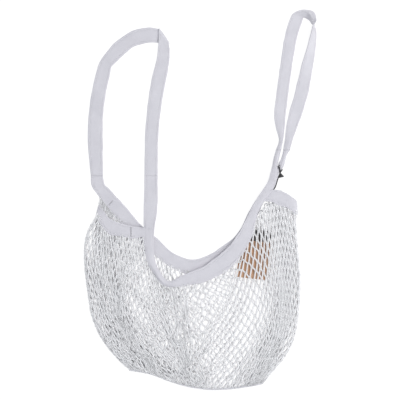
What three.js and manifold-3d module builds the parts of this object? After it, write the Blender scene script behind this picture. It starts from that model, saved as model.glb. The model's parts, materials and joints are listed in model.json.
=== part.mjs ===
// A cotton mesh produce bag lying flat, with its two long handle loops spread out above it.
// Millimetres. +Z is up from the table, +Y runs from the bag's bottom seam towards its handles.
// The net tube is sewn shut along the bottom, and folded tape binds its mouth and makes both handles.
import * as THREE from "three";
import { mergeVertices } from "three/addons/utils/BufferGeometryUtils.js";
import Module from "manifold-3d";

const wasm = await Module();
wasm.setup();

// Driving dimensions
const tapeThickness = 2.2; // cotton tape folded double and stitched
const netThickness = 2.0; // knotted yarn, measured over its knots
const pocketGap = 6.0; // space left between the back net and the front net
const clearance = 0.3; // kept between pieces that touch
const seamWidth = 3.4; // overlocked bottom seam
const foldWallThickness = 2.0; // net where the tube folds at each side
const cordDiameter = 2.0; // waxed string of the hang tag
const tagWidth = 48;
const tagLength = 78;
const tagThickness = 0.5;
const tagCornerRadius = 3;
const tagHoleRadius = 2.5;
const stitchThickness = 0.8; // bar tacks that catch the binding at each foot
const leftHingeY = 38; // across both strands of the left handle
const rightHingeY = 79; // across both strands of the right handle
const curveSteps = 3; // stations between two given edge points

// Heights of the layers, from the table up
const backTapeZ = tapeThickness / 2;
const frontNetBase = netThickness + pocketGap;
const frontTapeZ = frontNetBase + tapeThickness / 2;
const foldedOverZ = backTapeZ + tapeThickness + clearance; // tape lying on another layer of tape
const tagZ = 4.5;
const cordZ = 5.0;
const bagTop = frontNetBase + netThickness;

const tapeColour = 0xdedfe6;
const netColour = 0xe4e4ea;
const threadColour = 0xeeeef2;
const cordColour = 0x2e2d31;
const kraftColour = 0xc4986c;

const bag = new THREE.Group();

function cotton(colour) {
  return new THREE.MeshStandardMaterial({ color: colour, roughness: 0.9, metalness: 0 });
}

function addPiece(name, geometry, material) {
  const mesh = new THREE.Mesh(geometry, material);
  mesh.name = name;
  bag.add(mesh);
  return mesh;
}

// One closed body of a three.js geometry, for cutting and joining.
function solid(geometry) {
  const bare = geometry.index ? geometry.toNonIndexed() : geometry.clone();
  bare.deleteAttribute("normal");
  bare.deleteAttribute("uv");
  const merged = mergeVertices(bare, 1e-3);
  const mesh = new wasm.Mesh({
    numProp: 3,
    vertProperties: merged.attributes.position.array,
    triVerts: new Uint32Array(merged.index.array),
  });
  return new wasm.Manifold(mesh);
}

function geometryOf(manifold) {
  const mesh = manifold.getMesh();
  const geometry = new THREE.BufferGeometry();
  geometry.setAttribute("position", new THREE.BufferAttribute(mesh.vertProperties, 3));
  geometry.setIndex(new THREE.BufferAttribute(mesh.triVerts, 1));
  const flat = geometry.toNonIndexed();
  flat.computeVertexNormals();
  return flat;
}

// Stations between hand-placed edge pairs [left x, y, z, right x, y, z], on two smooth curves.
function stations(edgePairs) {
  const left = new THREE.CatmullRomCurve3(
    edgePairs.map((p) => new THREE.Vector3(p[0], p[1], p[2])), false, "catmullrom", 0.5);
  const right = new THREE.CatmullRomCurve3(
    edgePairs.map((p) => new THREE.Vector3(p[3], p[4], p[5])), false, "catmullrom", 0.5);
  const count = (edgePairs.length - 1) * curveSteps;
  return Array.from({ length: count + 1 }, (_, i) => ({
    left: left.getPoint(i / count),
    right: right.getPoint(i / count),
  }));
}

// A flat ribbon of even thickness through its stations, closed at both ends. A tilted edge stops at the table.
function ribbon(pairs, thickness) {
  const corners = pairs.map((pair, i) => {
    const before = pairs[Math.max(i - 1, 0)];
    const after = pairs[Math.min(i + 1, pairs.length - 1)];
    const along = after.left.clone().add(after.right).sub(before.left).sub(before.right);
    const across = pair.right.clone().sub(pair.left);
    const half = across.cross(along).normalize().multiplyScalar(thickness / 2);
    return [
      pair.left.clone().add(half), pair.right.clone().add(half),
      pair.right.clone().sub(half), pair.left.clone().sub(half),
    ].map((corner) => corner.setZ(Math.max(corner.z, 0)));
  });
  const triangles = [];
  const quad = (a, b, c, d) => triangles.push(a, b, c, a, c, d);
  for (let i = 0; i + 1 < corners.length; i++) {
    for (let side = 0; side < 4; side++) {
      const next = (side + 1) % 4;
      quad(corners[i][side], corners[i + 1][side], corners[i + 1][next], corners[i][next]);
    }
  }
  const last = corners.at(-1);
  quad(corners[0][0], corners[0][1], corners[0][2], corners[0][3]);
  quad(last[3], last[2], last[1], last[0]);
  const geometry = new THREE.BufferGeometry().setFromPoints(triangles);
  return facingOut(geometry);
}

// Turns a closed surface round when its faces point inwards.
function facingOut(geometry) {
  const p = geometry.attributes.position;
  const [a, b, c] = [new THREE.Vector3(), new THREE.Vector3(), new THREE.Vector3()];
  let volume = 0;
  for (let i = 0; i < p.count; i += 3) {
    a.fromBufferAttribute(p, i);
    b.fromBufferAttribute(p, i + 1);
    c.fromBufferAttribute(p, i + 2);
    volume += a.dot(b.clone().cross(c));
  }
  if (volume < 0) {
    for (let i = 0; i < p.count; i += 3) {
      b.fromBufferAttribute(p, i + 1);
      c.fromBufferAttribute(p, i + 2);
      p.setXYZ(i + 1, c.x, c.y, c.z);
      p.setXYZ(i + 2, b.x, b.y, b.z);
    }
  }
  geometry.computeVertexNormals();
  return geometry;
}

function flatPairs(rows, z) {
  return rows.map(([x1, y1, x2, y2]) => [x1, y1, z, x2, y2, z]);
}

function plate(outline, thickness, z, holes = []) {
  const shape = new THREE.Shape(outline.map(([x, y]) => new THREE.Vector2(x, y)));
  shape.holes.push(...holes);
  return new THREE.ExtrudeGeometry(shape, { depth: thickness, bevelEnabled: false, curveSegments: 4 })
    .translate(0, 0, z);
}

// Outline of the filled net below its bound mouth: down the left fold, along the seam, up the right fold.
const leftFold = [
  [-168, -32], [-179, -49], [-185, -68], [-186, -94], [-182, -145], [-176, -179],
  [-167, -204], [-154, -227], [-134, -252], [-115, -270],
];
const bottomEdge = [[-82, -275], [-54, -286], [-26, -295], [5, -300], [37, -302], [74, -297]];
const rightFold = [
  [99, -292], [122, -268], [139, -251], [148, -235], [153, -216], [158, -172],
  [160, -129], [158, -100], [156, -52], [154, -28],
];

function netBack() {
  const mouth = [
    [153, -6], [144, 3], [133, 8], [122, 14], [110, 2], [98, -25], [86, -54], [72, -74], [54, -92],
    [30, -108], [7, -117], [-16, -119], [-38, -114], [-58, -104], [-90, -79], [-110, -60],
    [-141, -27], [-162, 0], [-164, -9],
  ];
  const panel = solid(plate([...leftFold, ...bottomEdge, ...rightFold, ...mouth], netThickness, 0));
  const top = frontNetBase - clearance;
  const wall = (fold, inward) => {
    const inset = inward * (foldWallThickness / 2 + 0.5);
    const edges = fold.map(([x, y]) => [x + inset, y + 1, netThickness / 2, x + inset, y + 1, top]);
    return solid(ribbon(stations(edges), foldWallThickness));
  };
  return geometryOf(panel.add(wall(leftFold, 1)).add(wall(rightFold, -1)));
}

function netFront() {
  const mouth = [
    [141, -18], [128, -14], [112, -8], [103, -8], [96, -21], [90, -40], [86, -59], [79, -77],
    [68, -97], [52, -113], [29, -128], [6, -138], [-29, -143], [-53, -146], [-69, -136], [-80, -121],
    [-90, -99], [-93, -81], [-93, -65], [-109, -67], [-131, -64], [-145, -62], [-156, -52],
    [-166, -38],
  ];
  return plate([...leftFold.slice(1), ...bottomEdge, ...rightFold, ...mouth], netThickness, frontNetBase);
}

// The overlocked seam that closes the tube, standing through both layers.
function bottomSeam() {
  const edge = [
    [-113, -275.5], [-82, -280.5], [-54, -291], [-26, -299.5],
    [5, -304], [37, -306], [74, -301.5], [98, -297],
  ];
  const pairs = edge.map(([x, y]) => [x, y, bagTop / 2, x, y + seamWidth, bagTop / 2]);
  return ribbon(stations(pairs), bagTop);
}

// Back rim: from the left handle's outer strand, round the mouth behind, to the right handle's tied strand.
function rimBack() {
  return ribbon(stations(flatPairs([
    [-175, leftHingeY - 1, -156, leftHingeY - 1], [-173, 21, -153, 24], [-162, 5, -146, 15],
    [-139, -24, -122, -9], [-109, -57, -93, -43], [-88, -76, -73, -59], [-56, -101, -48, -83],
    [-16, -116, -13, -96], [6, -114, 3, -94], [29, -105, 20, -86], [51, -89, 40, -72],
    [69, -72, 56, -60], [82, -52, 67, -44], [93, -24, 80, -19], [106, 4, 98, 10], [115, 20, 108, 24],
    [122, 34, 117, 38], [131, 46, 125, 50], [136, 61, 130, 64], [144, rightHingeY - 1, 134, rightHingeY - 1],
  ], backTapeZ)), tapeThickness);
}

// Front rim: from the left handle's inner strand, round the mouth in front, to the right handle's inner strand.
function rimFront() {
  const z = frontTapeZ;
  const low = backTapeZ;
  return ribbon(stations([
    [-88, leftHingeY - 1, low, -68, leftHingeY - 1, low], [-89, -9, 4.5, -68, -9, 4.5],
    [-89, -41, z, -72, -41, z], [-89, -65, z, -74, -65, z], [-85, -97, z, -72, -96, z],
    [-74, -118, z, -64, -115, z], [-63, -134, z, -55, -128, z], [-51, -140, z, -48, -130, z],
    [-32, -138, z, -34, -116, z], [-14, -136, z, -16, -114, z], [5, -132, z, 4, -108, z],
    [27, -123, z, 20, -97, z], [50, -108, z, 37, -84, z], [64, -93, z, 50, -71, z],
    [76, -73, z, 59, -58, z], [84, -56, z, 65, -49, z], [88, -36, z, 72, -35, z],
    [94, -14, z, 82, -17, z], [106, 4, z, 94, 5, z], [114, 18, z, 102, 18, z],
    [118, 31, z - 1, 109, 31, z - 1], [120, 44, 6, 113, 44, 6], [122, 56, 3.5, 115, 56, 3.5],
    [129, rightHingeY - 1, low, 120, rightHingeY - 1, low],
  ]), tapeThickness);
}

// Left handle: up from the outer strand, over the top, folded once at the corner, down the inner strand.
function handleLeft() {
  const rise = stations(flatPairs([
    [-175, leftHingeY + 0.5, -156, leftHingeY + 0.5], [-179, 87, -155, 87], [-178, 127, -155, 128],
    [-174, 168, -151, 165], [-167, 202, -143, 200], [-155, 228, -136, 220], [-138, 250, -124, 232],
    [-117, 264, -110, 243], [-96, 272, -90, 250], [-80, 274, -72, 252], [-69, 272, -50, 250],
  ], backTapeZ));
  const fall = stations([
    [-69, 272, foldedOverZ, -50, 250, foldedOverZ], [-70, 248, 3.4, -49, 236, 3.4],
    [-72, 220, 2.3, -51, 216, 2.3], [-76, 191, 1.4, -55, 191, 1.4],
    [-82, 159, backTapeZ, -60, 159, backTapeZ], [-85, 128, backTapeZ, -65, 128, backTapeZ],
    [-87, 95, backTapeZ, -67, 95, backTapeZ],
    [-88, leftHingeY + 0.5, backTapeZ, -68, leftHingeY + 0.5, backTapeZ],
  ]);
  const wrapRadius = (foldedOverZ - backTapeZ) / 2;
  const outward = new THREE.Vector3(22, 19, 0).setLength(wrapRadius);
  outward.z = wrapRadius;
  const foldLine = rise.at(-1);
  const wrap = { left: foldLine.left.clone().add(outward), right: foldLine.right.clone().add(outward) };
  return ribbon([...rise, wrap, ...fall], tapeThickness);
}

// Right handle: up from the pinched inner strand, turned on edge at the top, down the wider outer strand.
function handleRight() {
  const low = backTapeZ;
  return ribbon(stations([
    [120, rightHingeY + 0.5, low, 129, rightHingeY + 0.5, low], [125, 95, low, 131, 95, low],
    [120, 114, low, 134, 114, low], [120, 135, low, 136, 136, low], [123, 172, low, 141, 172, low],
    [128, 220, low, 148, 220, low], [133, 253, low, 154, 253, low], [142, 280, low, 161, 277, low],
    [152, 298, 2.4, 167, 287, 1.4], [166, 304.4, 6, 173, 288, 1.8], [176, 304.4, 12, 176, 287, 2],
    [184, 292, 18, 178, 280, 2.3], [185, 271, 20, 177, 269, 2.4], [184.5, 252, 16, 173, 255, 2],
    [183, 216, 6, 165, 221, 1.5], [172, 167, low, 153, 170, low], [160, 127, low, 142, 130, low],
    [149, 98, low, 136, 99, low], [144, rightHingeY + 0.5, low, 134, rightHingeY + 0.5, low],
  ]), tapeThickness);
}

// Short bands bind the net's dips under the handles; the ring tape covers their ends at the feet.
function bandLeft() {
  const z = frontTapeZ;
  return ribbon(stations([
    [-162, -6, 5.2, -166, -29, 9.1], [-153, -20, z, -155, -44, z], [-144, -31, z, -144, -56, z],
    [-131, -37, z, -131, -58, z], [-110, -43, z, -109, -62, z], [-92, -45, z, -92, -60, z],
  ]), tapeThickness);
}

function bandRight() {
  const z = frontTapeZ;
  return ribbon(stations([
    [121, 15, z, 113, -4, z], [134, 11, z, 127, -10, z], [144, 5, z, 140, -14, z],
    [152, -3, 6, 150, -22, z],
  ]), tapeThickness);
}

// A zigzag bar tack, as a thin pad of thread lying on the tape.
function barTack(length, width, x, y, z, degrees) {
  const pad = new THREE.Shape();
  pad.absellipse(0, 0, length / 2, width / 2, 0, 2 * Math.PI);
  return new THREE.ExtrudeGeometry(pad, { depth: stitchThickness, bevelEnabled: false, curveSegments: 6 })
    .rotateZ(THREE.MathUtils.degToRad(degrees))
    .translate(x, y, z);
}

function hangTag() {
  const [w, l, r] = [tagWidth / 2, tagLength / 2, tagCornerRadius];
  const card = new THREE.Shape();
  card.absarc(w - r, l - r, r, 0, Math.PI / 2);
  card.absarc(-w + r, l - r, r, Math.PI / 2, Math.PI);
  card.absarc(-w + r, -l + r, r, Math.PI, 1.5 * Math.PI);
  card.absarc(w - r, -l + r, r, 1.5 * Math.PI, 2 * Math.PI);
  card.holes.push(new THREE.Path().absarc(0, l - 8, tagHoleRadius, 0, 2 * Math.PI));
  return new THREE.ExtrudeGeometry(card, { depth: tagThickness, bevelEnabled: false, curveSegments: 4 })
    .rotateZ(THREE.MathUtils.degToRad(-6))
    .translate(86.5, -88, tagZ);
}

// A stretch of the string along its route.
function cordRun(points) {
  const route = new THREE.CatmullRomCurve3(points.map(([x, y, z]) => new THREE.Vector3(x, y, z)));
  const section = new THREE.Shape();
  section.absarc(0, 0, cordDiameter / 2, 0, 2 * Math.PI);
  const steps = Math.round(route.getLength() / (3 * cordDiameter));
  return new THREE.ExtrudeGeometry(section, { steps, extrudePath: route, curveSegments: 4 });
}

// From the tie on the right handle's strand to the seal.
function cordTie() {
  return cordRun([[125, 53, 3.6], [126.6, 49, 3.8], [128, 44.8, 4.0]]);
}

// From the seal, under the right band, to the tag's hole.
function tagCord() {
  return cordRun([
    [126, 37.4, 4.2], [123.6, 31, cordZ], [121.6, 25, cordZ], [120, 18, cordZ], [116.5, 6, cordZ],
    [111, -8, cordZ], [104, -24, 5.6], [96, -42, 6.5], [90.5, -54, 6.5],
  ]);
}

// Moulded seal that locks the two ends of the string: a small rounded wedge.
function cordSeal() {
  const wedge = new THREE.Shape();
  wedge.moveTo(128, 44);
  wedge.lineTo(134.2, 37);
  wedge.quadraticCurveTo(134.4, 35.4, 132.8, 35);
  wedge.lineTo(129.4, 34.6);
  wedge.lineTo(125.8, 38);
  wedge.closePath();
  return new THREE.ExtrudeGeometry(wedge, {
    depth: 1.8, bevelEnabled: true, bevelThickness: 0.6, bevelSize: 0.5, bevelOffset: -0.6,
    bevelSegments: 2, curveSegments: 3,
  }).translate(0, 0, 3.4);
}

addPiece("net_back", netBack(), cotton(netColour));
addPiece("net_front", netFront(), cotton(netColour));
addPiece("bottom_seam", bottomSeam(), cotton(threadColour));
addPiece("rim_back", rimBack(), cotton(tapeColour));
addPiece("rim_front", rimFront(), cotton(tapeColour));
addPiece("band_left", bandLeft(), cotton(tapeColour));
addPiece("band_right", bandRight(), cotton(tapeColour));
addPiece("handle_left", handleLeft(), cotton(tapeColour));
addPiece("handle_right", handleRight(), cotton(tapeColour));

const onBackTape = tapeThickness + 2 * clearance;
const onFrontTape = frontNetBase + tapeThickness + 2 * clearance;
addPiece("bar_tack_left_back", barTack(14, 2.5, -142, -5, onBackTape, 48), cotton(threadColour));
addPiece("bar_tack_left_front", barTack(13, 2.5, -81, -52, onFrontTape, 90), cotton(threadColour));
addPiece("bar_tack_right_front", barTack(12, 2.5, 101, 5, onFrontTape, 0), cotton(threadColour));
addPiece("bar_tack_right_back", barTack(8, 2.5, 102, 8, onBackTape, 60), cotton(threadColour));
addPiece("band_join", barTack(16, 1.6, -110, -52, onFrontTape, 88), cotton(threadColour));

addPiece("hang_tag", hangTag(), new THREE.MeshStandardMaterial({ color: kraftColour, roughness: 0.85 }));
addPiece("cord_tie", cordTie(), new THREE.MeshStandardMaterial({ color: cordColour, roughness: 0.7 }));
addPiece("tag_cord", tagCord(), new THREE.MeshStandardMaterial({ color: cordColour, roughness: 0.7 }));
addPiece("cord_seal", cordSeal(), new THREE.MeshStandardMaterial({ color: cordColour, roughness: 0.45 }));

export default bag;
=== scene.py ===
# A cotton mesh produce bag lying flat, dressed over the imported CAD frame.
# Lengths in the tables below are millimetres; everything handed to Blender is metres.
import json
import math

import bpy
import numpy as np
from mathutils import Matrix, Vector


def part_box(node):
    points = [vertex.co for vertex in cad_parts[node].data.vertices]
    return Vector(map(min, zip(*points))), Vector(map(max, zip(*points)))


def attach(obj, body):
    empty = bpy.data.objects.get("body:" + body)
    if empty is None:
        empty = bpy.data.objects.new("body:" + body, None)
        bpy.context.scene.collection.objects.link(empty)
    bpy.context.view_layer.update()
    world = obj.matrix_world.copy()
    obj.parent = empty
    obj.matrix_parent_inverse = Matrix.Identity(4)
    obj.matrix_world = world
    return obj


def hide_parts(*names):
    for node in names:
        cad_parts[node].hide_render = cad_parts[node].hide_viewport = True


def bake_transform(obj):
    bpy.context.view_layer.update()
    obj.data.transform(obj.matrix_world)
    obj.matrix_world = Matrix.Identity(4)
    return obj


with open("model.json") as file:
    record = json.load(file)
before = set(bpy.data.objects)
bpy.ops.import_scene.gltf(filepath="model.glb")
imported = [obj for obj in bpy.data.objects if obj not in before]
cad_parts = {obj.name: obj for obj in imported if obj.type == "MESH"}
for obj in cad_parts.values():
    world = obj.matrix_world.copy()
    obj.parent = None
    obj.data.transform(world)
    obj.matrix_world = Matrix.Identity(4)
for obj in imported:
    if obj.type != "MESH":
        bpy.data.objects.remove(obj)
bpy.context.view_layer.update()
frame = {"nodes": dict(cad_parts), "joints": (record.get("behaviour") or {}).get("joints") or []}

MM = 0.001
rng = np.random.default_rng(7)

# ---------------------------------------------------------------- sizes, from the frame
back_low, back_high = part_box("net_back")
front_low, front_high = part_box("net_front")
tape_low, tape_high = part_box("rim_back")
TAPE_THICKNESS = (tape_high.z - tape_low.z) / MM
BACK_TAPE_Z = TAPE_THICKNESS / 2
FRONT_TAPE_Z = front_low.z / MM + TAPE_THICKNESS / 2
FOLDED_OVER_Z = BACK_TAPE_Z + TAPE_THICKNESS + 0.3
LEFT_HINGE_Y = next(j for j in frame["joints"] if j["name"] == "left_handle_fold")["pos_m"][1] / MM
RIGHT_HINGE_Y = next(j for j in frame["joints"] if j["name"] == "right_handle_fold")["pos_m"][1] / MM

YARN_RADIUS = 1.36
YARN_FLATNESS = 0.68  # soft yarn lies a little flattened
KNOT_RADIUS = 1.55
ROWS = 28  # half meshes from the mouth to the seam
YARN_PER_SIDE = 10.3  # yarn in one side of a mesh
STITCH_PITCH = 3.2
CORD_DIAMETER = 2.0


# ---------------------------------------------------------------- curves
def smooth(points, step):
    """A Catmull-Rom curve through points, with steps of about that length."""
    p = np.asarray(points, float)
    p = np.vstack([2 * p[0] - p[1], p, 2 * p[-1] - p[-2]])
    out = []
    for i in range(1, len(p) - 2):
        a, b, c, d = p[i - 1:i + 3]
        size = np.linalg.norm((c - b)[:3]) if p.shape[1] < 6 else np.linalg.norm((c - b)[:3] + (c - b)[3:]) / 2
        n = max(1, int(round(size / step)))
        t = (np.arange(n) / n)[:, None]
        out.append(0.5 * (2 * b + (c - a) * t + (2 * a - 5 * b + 4 * c - d) * t ** 2
                          + (3 * b - a - 3 * c + d) * t ** 3))
    out.append(p[-2:-1])
    return np.vstack(out)


def along(points):
    """Length along a polyline at each of its points."""
    gaps = np.linalg.norm(np.diff(points, axis=0), axis=1)
    return np.concatenate([[0], np.cumsum(gaps)])


def at_shares(points, shares):
    """Points at those shares of a polyline's length."""
    s = along(points)
    s = s / s[-1]
    return np.stack([np.interp(shares, s, points[:, k]) for k in range(points.shape[1])], axis=-1)


def unit(v):
    return v / np.maximum(np.linalg.norm(v, axis=-1, keepdims=True), 1e-9)


def mesh_object(name, vertices, faces, uv=None):
    """A mesh object from points in millimetres; uv holds one pair a vertex."""
    mesh = bpy.data.meshes.new(name)
    mesh.from_pydata((np.asarray(vertices) * MM).tolist(), [], [list(map(int, f)) for f in faces])
    mesh.validate()
    if uv is not None:
        layer = mesh.uv_layers.new(name="weave")
        loops = np.zeros(len(mesh.loops), np.int32)
        mesh.loops.foreach_get("vertex_index", loops)
        layer.data.foreach_set("uv", np.asarray(uv, np.float32)[loops].ravel())
    corners = np.zeros(len(mesh.polygons), np.int32)
    mesh.polygons.foreach_get("loop_total", corners)
    mesh.polygons.foreach_set("use_smooth", corners <= 4)  # end caps stay flat
    obj = bpy.data.objects.new(name, mesh)
    bpy.context.scene.collection.objects.link(obj)
    return obj


def grid_faces(rings, sides, closed=True, offset=0):
    """Quads joining rings of points, each ring having that many sides."""
    faces = []
    for i in range(rings - 1):
        for k in range(sides if closed else sides - 1):
            a = offset + i * sides + k
            b = offset + i * sides + (k + 1) % sides
            faces.append((a, b, b + sides, a + sides))
    return faces


# ---------------------------------------------------------------- camera
FRAME_WIDTH = 0.640  # metres across the picture at table height
LENS = 85.0
SENSOR = 36.0
camera_data = bpy.data.cameras.new("camera")
camera_data.lens = LENS
camera_data.sensor_width = SENSOR
camera = bpy.data.objects.new("camera", camera_data)
bpy.context.scene.collection.objects.link(camera)
camera.location = (0.0, -0.0012, FRAME_WIDTH * LENS / SENSOR + 0.004)
camera.rotation_euler = (0.0, 0.0, 0.0)
bpy.context.scene.camera = camera


# ---------------------------------------------------------------- materials
class Nodes:
    """Short ways to build one material's node tree."""

    def __init__(self, name):
        self.material = bpy.data.materials.new(name)
        self.material.use_nodes = True
        self.tree = self.material.node_tree
        self.shader = self.tree.nodes["Principled BSDF"]

    def add(self, kind, **settings):
        node = self.tree.nodes.new(kind)
        for key, value in settings.items():
            if key in node.inputs:
                node.inputs[key].default_value = value
            else:
                setattr(node, key, value)
        return node

    def link(self, out, into):
        self.tree.links.new(out, into)

    def math(self, operation, a, b=None):
        node = self.add("ShaderNodeMath", operation=operation)
        for value, socket in zip((a, b), node.inputs):
            if value is None:
                continue
            if isinstance(value, (int, float)):
                socket.default_value = value
            else:
                self.link(value, socket)
        return node.outputs[0]

    def noise(self, vector, scale, detail=3.0):
        node = self.add("ShaderNodeTexNoise", Scale=scale, Detail=detail)
        self.link(vector, node.inputs["Vector"])
        return node.outputs["Fac"]

    def ramp(self, fac, stops):
        node = self.add("ShaderNodeValToRGB")
        while len(node.color_ramp.elements) < len(stops):
            node.color_ramp.elements.new(0.5)
        for element, (place, colour) in zip(node.color_ramp.elements, stops):
            element.position = place
            element.color = (*colour, 1)
        self.link(fac, node.inputs["Fac"])
        return node.outputs["Color"]

    def bump(self, height, strength, distance):
        node = self.add("ShaderNodeBump", Strength=strength, Distance=distance)
        self.link(height, node.inputs["Height"])
        self.link(node.outputs["Normal"], self.shader.inputs["Normal"])
        return node

    def set(self, **values):
        for key, value in values.items():
            self.shader.inputs[key.replace("_", " ")].default_value = value


def tape_material():
    """Bleached cotton twill: fine diagonal ribs and soft mottling."""
    m = Nodes("cotton_tape")
    uv = m.add("ShaderNodeUVMap", uv_map="weave").outputs["UV"]
    place = m.add("ShaderNodeTexCoord").outputs["Object"]
    parts = m.add("ShaderNodeSeparateXYZ")
    m.link(uv, parts.inputs[0])
    u, v = parts.outputs[0], parts.outputs[1]
    rib = m.math("SINE", m.math("MULTIPLY", m.math("ADD", u, m.math("MULTIPLY", v, 0.9)), 2 * math.pi / 1.1))
    thread = m.math("SINE", m.math("MULTIPLY", m.math("SUBTRACT", u, m.math("MULTIPLY", v, 1.6)), 2 * math.pi / 0.6))
    weave = m.math("ADD", rib, m.math("MULTIPLY", thread, 0.5))
    fuzz = m.noise(place, 900.0, 4.0)
    mottling = m.noise(place, 38.0, 3.0)
    height = m.math("ADD", m.math("MULTIPLY", weave, 0.35), fuzz)
    m.bump(height, 0.35, 0.0004)
    tone_and_groove_shade = m.math("ADD", m.math("MULTIPLY", mottling, 0.55), m.math("MULTIPLY", fuzz, 0.3))
    # painted shade: the weave term lifts the colour on the rib crests and darkens it in the rib grooves
    tone_and_groove_shade = m.math("ADD", tone_and_groove_shade, m.math("MULTIPLY", weave, 0.04))
    colour = m.ramp(tone_and_groove_shade, [(0.2, (0.68, 0.67, 0.715)), (0.7, (0.81, 0.80, 0.84))])
    m.link(colour, m.shader.inputs["Base Color"])
    m.set(Roughness=0.92, Sheen_Weight=0.25, Sheen_Roughness=0.5, Specular_IOR_Level=0.2)
    return m.material


def yarn_material(name, light, dark):
    """Twisted cotton yarn: helical plies and a little fluff, with painted shade darkening the grooves between the
    plies.
    """
    m = Nodes(name)
    uv = m.add("ShaderNodeUVMap", uv_map="weave").outputs["UV"]
    place = m.add("ShaderNodeTexCoord").outputs["Object"]
    parts = m.add("ShaderNodeSeparateXYZ")
    m.link(uv, parts.inputs[0])
    turn = m.math("ADD", m.math("MULTIPLY", parts.outputs[0], 1 / 2.6), m.math("MULTIPLY", parts.outputs[1], 2.0))
    ply = m.math("SINE", m.math("MULTIPLY", turn, 2 * math.pi))
    fluff = m.noise(place, 1400.0, 3.0)
    m.bump(m.math("ADD", m.math("MULTIPLY", ply, 0.5), fluff), 0.5, 0.0004)
    # painted shade: the colour follows the ply twist, darker in the grooves between plies and lighter on their crests
    tone_and_groove_shade = m.math("ADD", m.math("MULTIPLY", ply, 0.18), m.noise(place, 60.0, 3.0))
    colour = m.ramp(tone_and_groove_shade, [(0.25, dark), (0.7, light)])
    m.link(colour, m.shader.inputs["Base Color"])
    m.set(Roughness=0.9, Sheen_Weight=0.3, Sheen_Roughness=0.5, Specular_IOR_Level=0.2)
    m.set(Subsurface_Weight=0.6, Subsurface_Radius=(1.0, 0.97, 0.97), Subsurface_Scale=0.003)
    return m.material


def string_material():
    """Black waxed string, laid in a tight twist."""
    m = Nodes("tag_string")
    uv = m.add("ShaderNodeUVMap", uv_map="weave").outputs["UV"]
    place = m.add("ShaderNodeTexCoord").outputs["Object"]
    parts = m.add("ShaderNodeSeparateXYZ")
    m.link(uv, parts.inputs[0])
    turn = m.math("ADD", m.math("MULTIPLY", parts.outputs[0], 1 / 1.5), m.math("MULTIPLY", parts.outputs[1], 3.0))
    ply = m.math("SINE", m.math("MULTIPLY", turn, 2 * math.pi))
    m.bump(ply, 0.6, 0.0002)
    # painted shade: the colour follows the twist, darker in its grooves and lighter on its crests
    tone_and_groove_shade = m.math("ADD", m.math("MULTIPLY", ply, 0.3), m.noise(place, 500.0, 2.0))
    m.link(m.ramp(tone_and_groove_shade, [(0.2, (0.009, 0.009, 0.011)), (0.9, (0.04, 0.039, 0.042))]), m.shader.inputs["Base Color"])
    m.set(Roughness=0.55, Sheen_Weight=0.1)
    return m.material


def seal_material():
    """Moulded black plastic with a faint spark texture."""
    m = Nodes("seal_plastic")
    place = m.add("ShaderNodeTexCoord").outputs["Object"]
    grain = m.noise(place, 1800.0, 2.0)
    m.bump(grain, 0.25, 0.0001)
    m.link(m.ramp(grain, [(0.3, (0.02, 0.02, 0.022)), (0.7, (0.034, 0.033, 0.036))]), m.shader.inputs["Base Color"])
    m.set(Roughness=0.38)
    return m.material


def card_material():
    """Uncoated kraft card with flecks; its upper quarter carries a plain dark band."""
    m = Nodes("kraft_card")
    place = m.add("ShaderNodeTexCoord").outputs["Object"]
    fibres = m.add("ShaderNodeMapping")
    fibres.inputs["Scale"].default_value = (1.0, 3.5, 1.0)
    m.link(place, fibres.inputs["Vector"])
    fleck = m.noise(fibres.outputs[0], 900.0, 5.0)
    cloud = m.noise(place, 90.0, 2.0)
    m.bump(fleck, 0.25, 0.0002)
    kraft = m.ramp(m.math("ADD", m.math("MULTIPLY", fleck, 0.6), m.math("MULTIPLY", cloud, 0.4)),
                   [(0.3, (0.48, 0.28, 0.16)), (0.55, (0.64, 0.40, 0.26)), (0.75, (0.74, 0.51, 0.35))])
    low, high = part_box("hang_tag")
    parts = m.add("ShaderNodeSeparateXYZ")
    m.link(place, parts.inputs[0])
    length = high.y - low.y
    tilt = math.tan(math.radians(6))
    across = m.math("MULTIPLY", m.math("SUBTRACT", parts.outputs[0], (low.x + high.x) / 2), tilt)
    height = m.math("ADD", parts.outputs[1], across)
    # above a line slanted 6 degrees across the card the colour turns a dark brown-black
    band = m.math("GREATER_THAN", height, low.y + 0.76 * length)
    mixer = m.add("ShaderNodeMix", data_type="RGBA")
    m.link(band, mixer.inputs[0])
    m.link(kraft, mixer.inputs[6])
    mixer.inputs[7].default_value = (0.10, 0.085, 0.08, 1)
    m.link(mixer.outputs[2], m.shader.inputs["Base Color"])
    m.set(Roughness=0.85)
    return m.material


TAPE = tape_material()
# each yarn material's second colour is painted shade for the grooves between its plies
YARN = yarn_material("net_yarn", (0.98, 0.975, 0.985), (0.945, 0.94, 0.955))
THREAD = yarn_material("cotton_thread", (0.86, 0.855, 0.89), (0.78, 0.775, 0.815))
STRING = string_material()
PLASTIC = seal_material()
CARD = card_material()


def dress(obj, material, slot, body, *nodes):
    """Paints a piece, names what it replaces and the body it rides on; its slot is not used."""
    obj.data.materials.append(material)
    if nodes:
        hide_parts(*nodes)
    if body:
        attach(obj, body)
    return obj


# ---------------------------------------------------------------- the hang tag's string
CORD_ROUTE = [
    (125.2, 53, 8.0), (126.8, 49, 7.8), (128.2, 44.8, 6.6), (127.8, 41, 5.2), (126.2, 37.4, 4.6),
    (123.9, 31, 4.5), (122.1, 25, 4.4), (119.4, 18, 4.4), (112, 9, 4.4), (101.5, -2, 4.4),
    (94, -13, 4.4), (88.5, -26, 4.4), (86, -38, 4.6), (87, -47, 5.2), (90.5, -54, 6.3),
]


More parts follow.
